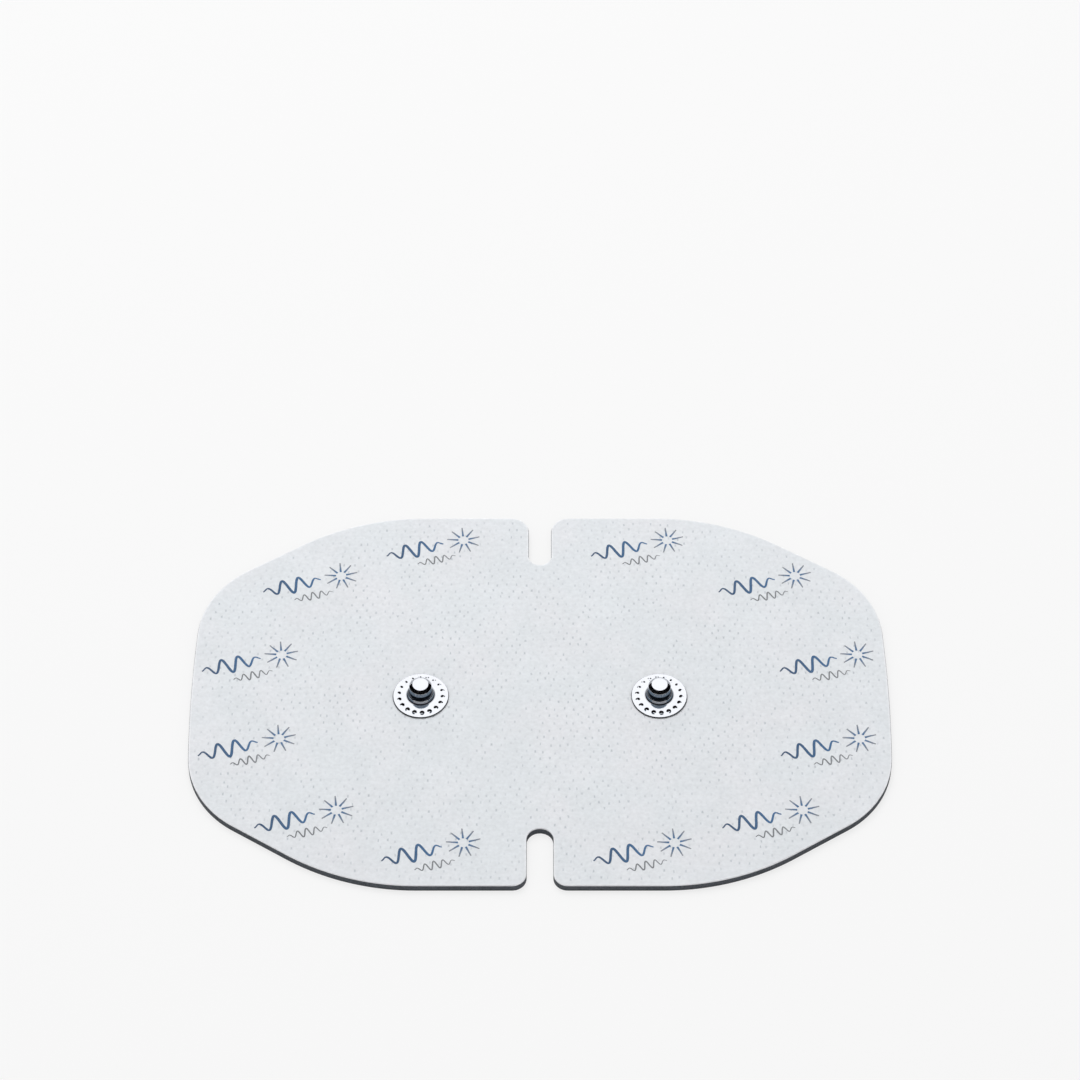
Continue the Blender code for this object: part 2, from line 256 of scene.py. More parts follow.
def mottleGroup():
    # Multiplies a colour by a soft, slowly changing tone
    inputs = [
        ("Color", "NodeSocketColor", (0.8, 0.8, 0.8, 1.0)),
        ("Scale", "NodeSocketFloat", 100.0),
        ("Strength", "NodeSocketFloat", 0.05),
    ]
    group, start, end = newGroup("softMottle", inputs, [("Color", "NodeSocketColor")])
    place = addNode(group, "ShaderNodeTexCoord")
    tone = addNode(
        group,
        "ShaderNodeTexNoise",
        {"Vector": place.outputs["Object"], "Scale": start.outputs["Scale"], "Detail": 4.0},
    )
    centred = addNode(
        group, "ShaderNodeMath", {0: tone.outputs[0], 1: 0.5}, operation="SUBTRACT"
    )
    scaled = addNode(
        group,
        "ShaderNodeMath",
        {0: centred.outputs[0], 1: start.outputs["Strength"], 2: 1.0},
        operation="MULTIPLY_ADD",
    )
    shade = addNode(
        group,
        "ShaderNodeVectorMath",
        {0: start.outputs["Color"], "Scale": scaled.outputs[0]},
        operation="SCALE",
    )
    group.links.new(shade.outputs[0], end.inputs["Color"])
    return group


def fibreGroup():
    # Fine threads lying in several directions: a height and a mask
    inputs = [("Scale", "NodeSocketFloat", 1000.0)]
    outputs = [("Height", "NodeSocketFloat"), ("Threads", "NodeSocketFloat")]
    group, start, end = newGroup("fibreWeb", inputs, outputs)
    place = addNode(group, "ShaderNodeTexCoord")
    total = None
    for turn, stretch in ((12, 9.0), (74, 7.0), (131, 8.0)):
        turned = addNode(
            group,
            "ShaderNodeMapping",
            {
                "Vector": place.outputs["Object"],
                "Rotation": (0.0, 0.0, math.radians(turn)),
                "Scale": (1.0, stretch, 1.0),
            },
        )
        threads = addNode(
            group,
            "ShaderNodeTexNoise",
            {
                "Vector": turned.outputs["Vector"],
                "Scale": start.outputs["Scale"],
                "Detail": 3.0,
                "Roughness": 0.65,
                "Distortion": 0.6,
            },
        )
        if total is None:
            total = threads.outputs[0]
        else:
            joined = addNode(
                group, "ShaderNodeMath", {0: total, 1: threads.outputs[0]}, operation="MAXIMUM"
            )
            total = joined.outputs[0]
    mask = addNode(
        group,
        "ShaderNodeMapRange",
        {"Value": total, "From Min": 0.5, "From Max": 0.72},
    )
    group.links.new(total, end.inputs["Height"])
    group.links.new(mask.outputs["Result"], end.inputs["Threads"])
    return group


def scratchGroup():
    # Sparse fine lines, for metal and smooth film
    inputs = [("Scale", "NodeSocketFloat", 300.0), ("Turn", "NodeSocketFloat", 0.0)]
    group, start, end = newGroup("fineScratches", inputs, [("Lines", "NodeSocketFloat")])
    place = addNode(group, "ShaderNodeTexCoord")
    spun = addNode(
        group,
        "ShaderNodeVectorRotate",
        {"Vector": place.outputs["Object"], "Angle": start.outputs["Turn"]},
        rotation_type="Z_AXIS",
    )
    stretched = addNode(
        group,
        "ShaderNodeMapping",
        {"Vector": spun.outputs["Vector"], "Scale": (1.0, 26.0, 4.0)},
    )
    streaks = addNode(
        group,
        "ShaderNodeTexNoise",
        {
            "Vector": stretched.outputs["Vector"],
            "Scale": start.outputs["Scale"],
            "Detail": 5.0,
            "Roughness": 0.7,
        },
    )
    lines = addNode(
        group,
        "ShaderNodeMapRange",
        {"Value": streaks.outputs[0], "From Min": 0.58, "From Max": 0.75},
    )
    group.links.new(lines.outputs["Result"], end.inputs["Lines"])
    return group


softMottle = mottleGroup()
fibreWeb = fibreGroup()
fineScratches = scratchGroup()


def useGroup(tree, group, sockets):
    return addNode(tree, "ShaderNodeGroup", sockets, node_tree=group)


def newFinish(name, roughness, **constants):
    mat = bpy.data.materials.new(name)
    mat.use_nodes = True
    tree = mat.node_tree
    shader = tree.nodes["Principled BSDF"]
    shader.inputs["Roughness"].default_value = roughness
    for key, value in constants.items():
        shader.inputs[key].default_value = value
    return mat, tree, shader


def mixColours(tree, amount, first, second):
    # Sockets by number, since the Mix node has others of the same names
    node = addNode(tree, "ShaderNodeMix", {0: amount, 6: first, 7: second}, data_type="RGBA")
    return node.outputs[2]


def spread(tree, value, low, high, toLow=0.0, toHigh=1.0):
    node = addNode(
        tree,
        "ShaderNodeMapRange",
        {"Value": value, "From Min": low, "From Max": high, "To Min": toLow, "To Max": toHigh},
    )
    return node.outputs["Result"]


# White nonwoven cover

cover = {
    "bottom": 1.25 * mm,
    "top": 1.50 * mm,
    "setBack": 0.06 * mm,  # from the foam's edge, which peeps out all round
    "rimStrip": 0.35 * mm,
    "rimRadius": 0.12 * mm,
    "acrossX": 1.71 * mm,  # bond points along X
    "rowGap": 1.60 * mm,  # between staggered rows of them
    "bondRadius": 0.54 * mm,
    "bondRoom": 2.2,  # radii that have to be free along each line
    "bondDepth": 0.06 * mm,
    "bondShift": 0.8 * mm,  # how far points stray from the even lattice
    "bondDrift": 1.1 * mm,  # over what distance the straying changes
    "pillow": 0.03 * mm,
    "swell": 0.05 * mm,  # height, ring and half width of the rise around each snap
    "swellRing": 5.9 * mm,
    "swellReach": 0.8 * mm,
    "white": (0.725, 0.757, 0.787, 1.0),
    "pressed": (0.47, 0.50, 0.54, 1.0),
    "warm": (0.742, 0.749, 0.779, 1.0),  # faint patches of another tone
    # painted highlight along the cover's cut edge, lighter than the cover
    "paintedEdgeHighlight": (0.86, 0.87, 0.90, 1.0),
}


def coverFinish():
    mat, tree, shader = newFinish("nonwovenWhite", 0.85, **{"Sheen Weight": 0.15})
    web = useGroup(tree, fibreWeb, {"Scale": 700.0})
    bond = addNode(tree, "ShaderNodeAttribute", attribute_name="bond")
    rim = addNode(tree, "ShaderNodeAttribute", attribute_name="rim")
    place = addNode(tree, "ShaderNodeTexCoord")
    patchy = addNode(
        tree,
        "ShaderNodeTexNoise",
        {"Vector": place.outputs["Object"], "Scale": 260.0, "Detail": 3.0},
    )
    patchiness = spread(tree, patchy.outputs[0], 0.395, 0.625, 0.15, 1.0)
    wide = addNode(tree, "ShaderNodeMath", {0: bond.outputs["Fac"], 1: 0.55}, operation="POWER")
    pressed = addNode(
        tree, "ShaderNodeMath", {0: wide.outputs[0], 1: patchiness}, operation="MULTIPLY"
    )
    clouds = addNode(
        tree,
        "ShaderNodeTexNoise",
        {"Vector": place.outputs["Object"], "Scale": 75.0, "Detail": 3.0},
    )
    cloudy = spread(tree, clouds.outputs[0], 0.42, 0.66, 0.0, 0.7)
    colour = mixColours(tree, cloudy, cover["white"], cover["warm"])
    colour = mixColours(tree, pressed.outputs[0], colour, cover["pressed"])
    # The rim vertices take a painted highlight
    colour = mixColours(tree, rim.outputs["Fac"], colour, cover["paintedEdgeHighlight"])
    tone = useGroup(tree, softMottle, {"Color": colour, "Scale": 150.0, "Strength": 0.12})
    fine = useGroup(
        tree, softMottle, {"Color": tone.outputs["Color"], "Scale": 1500.0, "Strength": 0.24}
    )
    tree.links.new(fine.outputs["Color"], shader.inputs["Base Color"])
    rough = spread(tree, web.outputs["Threads"], 0.0, 1.0, 0.78, 0.92)
    tree.links.new(rough, shader.inputs["Roughness"])
    bump = addNode(
        tree,
        "ShaderNodeBump",
        {"Height": web.outputs["Height"], "Distance": 0.10 * mm, "Strength": 0.55},
    )
    tree.links.new(bump.outputs["Normal"], shader.inputs["Normal"])
    return mat


def bondLines(bm, region):
    # Cuts two slanted families of lines, which cross where the web is bonded
    for lean in (-1, 1):
        along = Vector((lean * cover["acrossX"] / 2, cover["rowGap"], 0.0)).normalized()
        across = Vector((along.y, -along.x, 0.0))
        gap = abs(across.x) * cover["acrossX"]
        reach = math.hypot(pad["length"], pad["width"]) / 2
        count = int(reach / gap)
        for i in range(-count, count + 1):
            # In a fixed order, so that every run cuts alike
            edges = list(dict.fromkeys(edge for face in region for edge in face.edges))
            verts = list(dict.fromkeys(vert for edge in edges for vert in edge.verts))
            made = bmesh.ops.bisect_plane(
                bm,
                geom=region + edges + verts,
                dist=5 * weld,
                plane_co=across * gap * (i + 0.5),
                plane_no=across,
            )
            region = [item for item in made["geom"] if isinstance(item, bmesh.types.BMFace)]
    return region


def nonwovenCover(material):
    bm = bmesh.new()
    bond = bm.verts.layers.float.new("bond")
    rim = bm.verts.layers.float.new("rim")
    tracePad(bm)
    bmesh.ops.contextual_create(bm, geom=bm.edges[:])
    bmesh.ops.recalc_face_normals(bm, faces=bm.faces)
    if bm.faces[:][0].normal.z < 0:
        bmesh.ops.reverse_faces(bm, faces=bm.faces[:])
    trimmed = bmesh.ops.inset_region(
        bm,
        faces=bm.faces[:],
        thickness=cover["setBack"],
        use_boundary=True,
        use_even_offset=True,
    )["faces"]
    bmesh.ops.delete(bm, geom=trimmed, context="FACES")
    field = bm.faces[:]
    strip = bmesh.ops.inset_region(
        bm,
        faces=field,
        thickness=cover["rimStrip"],
        use_boundary=True,
        use_even_offset=True,
    )["faces"]
    stripFaces = set(strip)
    rimVerts = {vert for edge in bm.edges if edge.is_boundary for vert in edge.verts}
    region = bondLines(bm, [face for face in bm.faces if face not in stripFaces])
    print("cover field:", len(region), "cells")

    regionSet = set(region)
    room = cover["bondRoom"] * cover["bondRadius"]
    crossings = [
        vert
        for vert in bm.verts
        if len(vert.link_edges) == 4
        and all(face in regionSet for face in vert.link_faces)
        and min(edge.calc_length() for edge in vert.link_edges) > room
    ]
    for vert in crossings:
        stray = noise.noise_vector(vert.co / cover["bondDrift"])
        vert.co.x += cover["bondShift"] * stray.x
        vert.co.y += cover["bondShift"] * stray.y
    points = bmesh.ops.bevel(
        bm,
        geom=crossings,
        offset=cover["bondRadius"],
        offset_type="OFFSET",
        segments=1,
        profile=0.5,
        affect="VERTICES",
        material=-1,
        clamp_overlap=True,
    )["faces"]
    pointSet = set(points)
    cells = [
        face
        for face in bm.faces
        if face not in stripFaces and face not in pointSet and len(face.verts) > 4
    ]
    dimples = bmesh.ops.poke(bm, faces=points, offset=-cover["bondDepth"], center_mode="MEAN")
    lowVerts = set(dimples["verts"])
    print("cover bonds:", len(crossings), "cells:", len(cells))
    bmesh.ops.poke(bm, faces=cells, offset=cover["pillow"], center_mode="MEAN")

    for vert in bm.verts:
        vert[bond] = 1.0 if vert in lowVerts else 0.0
        vert[rim] = 1.0 if vert in rimVerts else 0.0
        offset = math.hypot(abs(vert.co.x) - pad["snapX"], vert.co.y - pad["snapY"])
        away = abs(offset - cover["swellRing"])
        vert.co.z += cover["swell"] * max(0.0, 1.0 - (away / cover["swellReach"]) ** 2)
    bmesh.ops.translate(bm, verts=bm.verts, vec=(0, 0, cover["top"]))

    edges = [edge for edge in bm.edges if edge.is_boundary]
    wall = bmesh.ops.extrude_edge_only(bm, edges=edges)["geom"]
    foot = [item for item in wall if isinstance(item, bmesh.types.BMVert)]
    footEdges = [item for item in wall if isinstance(item, bmesh.types.BMEdge) and item.is_boundary]
    bmesh.ops.translate(bm, verts=foot, vec=(0, 0, cover["bottom"] - cover["top"]))
    bmesh.ops.contextual_create(bm, geom=footEdges)
    bmesh.ops.bevel(
        bm,
        geom=edges,
        offset=cover["rimRadius"],
        segments=3,
        profile=0.5,
        affect="EDGES",
        material=-1,
        clamp_overlap=True,
    )
    bmesh.ops.recalc_face_normals(bm, faces=bm.faces)
    piece = newPiece(bm, "nonwovenCover", material, 60)

    punches = []
    for side in (-1, 1):
        punch = bmesh.new()
        bmesh.ops.create_cone(
            punch,
            cap_ends=True,
            segments=48,
            radius1=pad["holeRadius"],
            radius2=pad["holeRadius"],
            depth=2 * cover["top"],
            matrix=Matrix.Translation((side * pad["snapX"], pad["snapY"], cover["bottom"])),
        )
        punches.append(newPiece(punch, "punch", material))
    cutWith(piece, punches, 60)
    return piece


# Dark closed-cell foam frame, with a window for each gel

foam = {
    "top": 1.23 * mm,
    "rim": 4.0 * mm,
    "windowCorner": 3.0 * mm,
    "edgeRadius": 0.06 * mm,
    "slate": (0.066, 0.076, 0.091, 1.0),
    "pits": (0.026, 0.030, 0.036, 1.0),
}


def foamFinish():
    mat, tree, shader = newFinish("foamSlate", 0.8)
    place = addNode(tree, "ShaderNodeTexCoord")
    cells = addNode(
        tree, "ShaderNodeTexVoronoi", {"Vector": place.outputs["Object"], "Scale": 4200.0}
    )
    pits = spread(tree, cells.outputs["Distance"], 0.15, 0.5)
    colour = mixColours(tree, pits, foam["pits"], foam["slate"])
    tone = useGroup(tree, softMottle, {"Color": colour, "Scale": 500.0, "Strength": 0.5})
    tree.links.new(tone.outputs["Color"], shader.inputs["Base Color"])
    rough = spread(tree, cells.outputs["Distance"], 0.1, 0.6, 0.9, 0.68)
    tree.links.new(rough, shader.inputs["Roughness"])
    bump = addNode(
        tree, "ShaderNodeBump", {"Height": pits, "Distance": 0.05 * mm, "Strength": 0.6}
    )
    tree.links.new(bump.outputs["Normal"], shader.inputs["Normal"])
    return mat


def sheetOfOutline(bm, height, edgeRadius):
    # Fills the traced loops, gives them their height and eases the cut edges
    bmesh.ops.triangle_fill(bm, use_beauty=True, edges=bm.edges[:], normal=(0, 0, 1))
    made = bmesh.ops.extrude_face_region(bm, geom=bm.faces[:])["geom"]
    high = [item for item in made if isinstance(item, bmesh.types.BMVert)]
    bmesh.ops.translate(bm, verts=high, vec=(0, 0, height))
    bmesh.ops.recalc_face_normals(bm, faces=bm.faces)
    bmesh.ops.bevel(
        bm,
        geom=[edge for edge in bm.edges if edge.calc_face_angle(0.0) > math.radians(60)],
        offset=edgeRadius,
        segments=3,
        profile=0.5,
        affect="EDGES",
        material=-1,
        clamp_overlap=True,
    )


def tracePadInto(bm):
    # The outer loop is traced apart, so that the mirrors leave the windows alone
    outer = bmesh.new()
    tracePad(outer)
    mesh = bpy.data.meshes.new("outerLoop")
    outer.to_mesh(mesh)
    outer.free()
    bm.from_mesh(mesh)
    bpy.data.meshes.remove(mesh)


def foamFrame(material):
    bm = bmesh.new()
    traceWindow(bm, 0.0)
    mirrorAll(bm, "X")
    tracePadInto(bm)
    sheetOfOutline(bm, foam["top"], foam["edgeRadius"])
    return newPiece(bm, "foamFrame", material)


# Skin gels and the patches over the eyelets

gel = {
    "height": 1.08 * mm,
    "clearance": 0.3 * mm,
    "edgeRadius": 0.2 * mm,
    "clear": (0.80, 0.88, 0.90, 1.0),
    "scrim": (0.95, 0.96, 0.95, 1.0),
}

patch = {
    "radius": 7.5 * mm,
    "hub": 4.3 * mm,
    "ramp": 0.6 * mm,
    "thickness": 0.08 * mm,
    "low": 0.81 * mm,
    "high": 1.08 * mm,
    "bond": 0.02 * mm,
    "margin": 0.1 * mm,  # the recess in the gel is wider than the patch by this
    "tape": (0.80, 0.80, 0.77, 1.0),
}


def gelFinish():
    mat, tree, shader = newFinish("skinGel", 0.1, IOR=1.42, **{"Transmission Weight": 0.82})
    place = addNode(tree, "ShaderNodeTexCoord")
    sheets = []
    for turn in (0.0, math.pi / 2):
        turned = addNode(
            tree,
            "ShaderNodeMapping",
            {"Vector": place.outputs["Object"], "Rotation": (0.0, 0.0, turn + 0.06)},
        )
        lines = addNode(
            tree,
            "ShaderNodeTexWave",
            {"Vector": turned.outputs["Vector"], "Scale": 260.0, "Distortion": 0.4, "Detail": 1.0},
            bands_direction="X",
        )
        sheets.append(spread(tree, lines.outputs["Fac"], 0.86, 0.98))
    scrim = addNode(tree, "ShaderNodeMath", {0: sheets[0], 1: sheets[1]}, operation="MAXIMUM")
    colour = mixColours(tree, scrim.outputs[0], gel["clear"], gel["scrim"])
    tone = useGroup(tree, softMottle, {"Color": colour, "Scale": 90.0, "Strength": 0.06})
    tree.links.new(tone.outputs["Color"], shader.inputs["Base Color"])
    rough = spread(tree, scrim.outputs[0], 0.0, 1.0, 0.08, 0.3)
    tree.links.new(rough, shader.inputs["Roughness"])
    ripples = addNode(
        tree,
        "ShaderNodeTexNoise",
        {"Vector": place.outputs["Object"], "Scale": 220.0, "Detail": 3.0},
    )
    bump = addNode(
        tree,
        "ShaderNodeBump",
        {"Height": ripples.outputs[0], "Distance": 0.12 * mm, "Strength": 0.35},
    )
    tree.links.new(bump.outputs["Normal"], shader.inputs["Normal"])
    return mat


def patchLine(drop):
    low = patch["low"] - drop
    high = patch["high"] - drop
    ramp = patch["hub"] + patch["ramp"]
    return [(0.0, low), (patch["hub"], low), (ramp, high), (patch["radius"], high)]


def skinGel(side, material):
    bm = bmesh.new()
    traceWindow(bm, gel["clearance"])
    sheetOfOutline(bm, gel["height"], gel["edgeRadius"])
    if side < 0:
        bmesh.ops.scale(bm, vec=(-1, 1, 1), verts=bm.verts)
        bmesh.ops.recalc_face_normals(bm, faces=bm.faces)
    piece = newPiece(bm, "skinGel" + sideName[side], material)
    recess = bmesh.new()
    floor = patchLine(patch["thickness"] + patch["bond"])
    edge = patch["radius"] + patch["margin"]
    high = patch["high"] + patch["margin"]
    turnProfile(recess, [(0.0, high), (edge, high), (edge, floor[-1][1])] + floor[-2::-1], 96)
    place = (side * pad["snapX"], pad["snapY"], 0.0)
    bmesh.ops.translate(recess, verts=recess.verts, vec=place)
    cutWith(piece, [newPiece(recess, "recess", material)])
    return piece


def tapeFinish():
    mat, tree, shader = newFinish("patchTape", 0.5)
    web = useGroup(tree, fibreWeb, {"Scale": 500.0})
    tone = useGroup(tree, softMottle, {"Color": patch["tape"], "Scale": 300.0, "Strength": 0.1})
    tree.links.new(tone.outputs["Color"], shader.inputs["Base Color"])
    rough = spread(tree, web.outputs["Threads"], 0.0, 1.0, 0.42, 0.6)
    tree.links.new(rough, shader.inputs["Roughness"])
    bump = addNode(
        tree,
        "ShaderNodeBump",
        {"Height": web.outputs["Height"], "Distance": 0.03 * mm, "Strength": 0.3},
    )
    tree.links.new(bump.outputs["Normal"], shader.inputs["Normal"])
    return mat


def tapePatch(side, material):
    bm = bmesh.new()
    turnProfile(bm, patchLine(0.0) + patchLine(patch["thickness"])[::-1], 96)
    place = (side * pad["snapX"], pad["snapY"], 0.0)
    bmesh.ops.translate(bm, verts=bm.verts, vec=place)
    return newPiece(bm, "tapePatch" + sideName[side], material)


# Snap studs

stud = {
    "level": 1.52 * mm,  # underside of the flange
    "sheet": 0.3 * mm,
    "flangeRadius": 5.0 * mm,
    "flangeRise": 0.27 * mm,
    "flangeFillet": 0.12 * mm,
    "height": 3.2 * mm,  # from here to innerNeck, sizes of the inner skin
    "shoulder": 1.1 * mm,
    "neck": 1.725 * mm,
    "skirt": 2.43 * mm,
    "skirtRounding": 0.55 * mm,
    "innerHead": 1.675 * mm,
    "innerRounding": 0.15 * mm,
    "innerBelly": 2.55 * mm,
    "innerNeck": 1.5 * mm,
    "outline": [  # outer skin as radius, height and rounding
        (0.0, 3.2 * mm, 0.0),
        (1.42 * mm, 3.2 * mm, 0.12 * mm),
        (1.99 * mm, 2.70 * mm, 0.10 * mm),
        (2.0 * mm, 1.84 * mm, 0.12 * mm),
        (1.725 * mm, 1.62 * mm, 0.08 * mm),
        (1.725 * mm, 1.13 * mm, 0.12 * mm),
        (2.3 * mm, 1.08 * mm, 0.2 * mm),
        (2.43 * mm, 0.28 * mm, 0.1 * mm),
        (2.57 * mm, 0.26 * mm, 0.0),
    ],
    "roundSteps": 7,
    "steps": 288,
    "flangeStep": 0.08 * mm,
    "dents": 18,
    "dentTurn": -5.5,
    "dentRing": 4.0 * mm,
    "dentRadius": 0.45 * mm,
    "dentDepth": 0.14 * mm,
    "nickel": (0.44, 0.45, 0.475, 1.0),
    # painted shade, laid on the metal in bands of height
    "paintedShade": (0.016, 0.020, 0.027, 1.0),
    "paintedShadeBands": [  # heights above the flange between which it is painted dark, as shade at the flange's edge, the skirt's foot and the neck
        (-0.28 * mm, -0.05 * mm), (0.265 * mm, 0.58 * mm), (1.08 * mm, 1.56 * mm),
    ],
    "paintedShadeSoft": 0.02 * mm,
}


def nickelFinish():
    mat, tree, shader = newFinish("brightNickel", 0.08, Metallic=1.0)
    rub = useGroup(tree, fineScratches, {"Scale": 420.0, "Turn": 0.5})
    cross = useGroup(tree, fineScratches, {"Scale": 300.0, "Turn": 2.1})
    lines = addNode(
        tree,
        "ShaderNodeMath",
        {0: rub.outputs["Lines"], 1: cross.outputs["Lines"]},
        operation="MAXIMUM",
    )
    place = addNode(tree, "ShaderNodeTexCoord")
    split = addNode(tree, "ShaderNodeSeparateXYZ", {0: place.outputs["Object"]})
    top = stud["level"] + stud["sheet"]
    soft = stud["paintedShadeSoft"]
    # Painted shade: bands of height darkened where shade falls, at the flange's edge, the skirt's
    # foot and the neck groove
    paintedShadeMask = None
    for low, high in stud["paintedShadeBands"]:
        above = spread(tree, split.outputs["Z"], top + low - soft, top + low + soft)
        below = spread(tree, split.outputs["Z"], top + high - soft, top + high + soft, 1.0, 0.0)
        band = addNode(tree, "ShaderNodeMath", {0: above, 1: below}, operation="MINIMUM")
        if paintedShadeMask is None:
            paintedShadeMask = band.outputs[0]
        else:
            joined = addNode(
                tree, "ShaderNodeMath", {0: paintedShadeMask, 1: band.outputs[0]}, operation="MAXIMUM"
            )
            paintedShadeMask = joined.outputs[0]
    colour = mixColours(tree, paintedShadeMask, stud["nickel"], stud["paintedShade"])
    tone = useGroup(tree, softMottle, {"Color": colour, "Scale": 600.0, "Strength": 0.08})
    tree.links.new(tone.outputs["Color"], shader.inputs["Base Color"])
    rough = spread(tree, lines.outputs[0], 0.0, 1.0, 0.07, 0.2)
    tree.links.new(rough, shader.inputs["Roughness"])
    drawn = addNode(
        tree,
        "ShaderNodeTexNoise",
        {"Vector": place.outputs["Object"], "Scale": 900.0, "Detail": 2.0},
    )
    bump = addNode(
        tree,
        "ShaderNodeBump",
        {"Height": drawn.outputs[0], "Distance": 0.01 * mm, "Strength": 0.1},
    )
    tree.links.new(bump.outputs["Normal"], shader.inputs["Normal"])
    return mat


def studInside(count):
    # The sheet's inner skin, which clears the eyelet's post
    sheet = stud["sheet"]
    head = (stud["innerHead"] - stud["innerRounding"], stud["innerBelly"])
    neck = stud["neck"] - sheet
    skirt = stud["skirt"] - sheet
    rounding = stud["skirtRounding"] - sheet
    shoulder = stud["shoulder"] - sheet
    line = [(0.0, stud["height"] - sheet)]
    line += quarterTurn(
        head, stud["innerRounding"], stud["height"] - sheet - head[1], 90, 0, count
    )
    fall = head[1] - stud["innerNeck"]
    for i in range(1, count + 1):
        share = i / count
        depth = (stud["innerHead"] - neck) * (1 - math.cos(math.pi * share)) / 2
        line.append((stud["innerHead"] - depth, head[1] - fall * share))
    hollow = (skirt - rounding - 0.05 * mm, stud["innerNeck"])
    line += quarterTurn(hollow, hollow[0] - neck, hollow[1] - shoulder, 180, 270, count)[1:]
    line += quarterTurn((skirt - rounding, shoulder - rounding), rounding, rounding, 90, 0, count)
    foot = (stud["skirt"] + stud["flangeFillet"], stud["flangeRise"] + stud["flangeFillet"])
    fillet = stud["flangeFillet"] + sheet
    return line + quarterTurn(foot, fillet, fillet, 180, 270, count)


def snapStud(side, material):
    half = stud["sheet"] / 2
    rimStart = stud["flangeRadius"] - half
    rim = quarterTurn((rimStart, -half), half, half, 90, -90, 12)
    outside = roundedLine(stud["outline"], stud["roundSteps"])
    inside = studInside(6)
    foot, rise = outside[-1]
    steps = math.ceil((rimStart - foot) / stud["flangeStep"])
    flat = []
    for i in range(1, steps):
        share = i / steps
        flat.append((foot + (rimStart - foot) * share, rise * (1 - share)))
    bm = bmesh.new()
    turnProfile(bm, outside + flat + rim + inside[::-1], stud["steps"])

    pitch = 2 * math.pi / stud["dents"]
    first = math.radians(stud["dentTurn"])
    for vert in bm.verts:
        ring = math.hypot(vert.co.x, vert.co.y)
        if ring < foot or vert.co.z < -weld:
            continue  # not on the flange's upper side
        angle = math.atan2(vert.co.y, vert.co.x) - first
        angle = angle - pitch * round(angle / pitch)
        away = math.hypot(ring * math.cos(angle) - stud["dentRing"], ring * math.sin(angle))
        share = away / stud["dentRadius"]
        if share < 1.0:
            vert.co.z -= stud["dentDepth"] * (1.0 - share ** 1.2)
    place = (side * pad["snapX"], pad["snapY"], stud["level"] + stud["sheet"])
    bmesh.ops.translate(bm, verts=bm.verts, vec=place)
    return newPiece(bm, "snapStud" + sideName[side], material, 40)


# Finishes for the solids that keep their own shape

sealed = {
    "carbon": (0.012, 0.012, 0.014, 1.0),
    "tinned": (0.62, 0.60, 0.55, 1.0),
}


def carbonFinish():
    mat, tree, shader = newFinish("carbonFilm", 0.45)
    rub = useGroup(tree, fineScratches, {"Scale": 120.0, "Turn": 1.2})
    tone = useGroup(tree, softMottle, {"Color": sealed["carbon"], "Scale": 900.0, "Strength": 0.6})
    tree.links.new(tone.outputs["Color"], shader.inputs["Base Color"])
    tree.links.new(
        spread(tree, rub.outputs["Lines"], 0.0, 1.0, 0.5, 0.34), shader.inputs["Roughness"]
    )
    return mat


def tinnedFinish():
    mat, tree, shader = newFinish("tinnedEyelet", 0.3, Metallic=1.0)
    rub = useGroup(tree, fineScratches, {"Scale": 500.0, "Turn": 0.3})
    tone = useGroup(tree, softMottle, {"Color": sealed["tinned"], "Scale": 700.0, "Strength": 0.2})
    tree.links.new(tone.outputs["Color"], shader.inputs["Base Color"])
    tree.links.new(
        spread(tree, rub.outputs["Lines"], 0.0, 1.0, 0.26, 0.42), shader.inputs["Roughness"]
    )
    return mat


# Printed marks in twelve places: a blue wave, a thinner grey one and a burst of rays

marks = {
    "places": [
        (-19.6, 34.6), (18.0, 34.6), (-41.9, 26.0), (41.2, 26.0),
        (-52.0, 7.5), (51.6, 7.5), (-51.6, -11.5), (51.0, -11.5),
        (-40.9, -27.2), (40.2, -27.2), (-18.7, -34.2), (17.8, -34.2),
    ],
    "tilt": 16.0,
    "lift": 0.025 * mm,
    "film": 0.008 * mm,
    "blueLeft": (0.006, 0.042, 0.110, 1.0),
    "blueRight": (0.008, 0.100, 0.250, 1.0),
    "greyLeft": (0.10, 0.11, 0.12, 1.0),
    "greyRight": (0.20, 0.21, 0.23, 1.0),
}

waves = {
    "blue": {
        "length": 10.8 * mm, "stroke": 0.5 * mm, "height": 1.7 * mm, "turns": 3.5,
        "shift": (-3.5 * mm, 0.2 * mm), "steps": 130,
    },
    "grey": {
        "length": 7.2 * mm, "stroke": 0.25 * mm, "height": 0.85 * mm, "turns": 4.5,
        "shift": (-0.3 * mm, -3.2 * mm), "steps": 100,
    },
}

burst = {
    "rays": 9,
    "inner": 0.95 * mm,
    "outer": 3.05 * mm,
    "stroke": 0.38 * mm,
    "shift": (5.7 * mm, 0.0),
    "steps": 18,
}


def inkFinish(name, left, right):
    mat, tree, shader = newFinish(name, 0.6)
    along = addNode(tree, "ShaderNodeAttribute", attribute_name="along")
    colour = mixColours(tree, along.outputs["Fac"], left, right)
    tone = useGroup(tree, softMottle, {"Color": colour, "Scale": 2400.0, "Strength": 0.5})
    tree.links.new(tone.outputs["Color"], shader.inputs["Base Color"])
    web = useGroup(tree, fibreWeb, {"Scale": 700.0})
    tree.links.new(
        spread(tree, web.outputs["Threads"], 0.0, 1.0, 0.5, 0.75), shader.inputs["Roughness"]
    )
    return mat


def markPlaces(shift):
    spin = Matrix.Rotation(math.radians(marks["tilt"]), 4, "Z")
    centres = [Matrix.Translation((x * mm, y * mm, 0.0)) for x, y in marks["places"]]
    return [centre @ spin @ Matrix.Translation((*shift, 0.0)) for centre in centres]


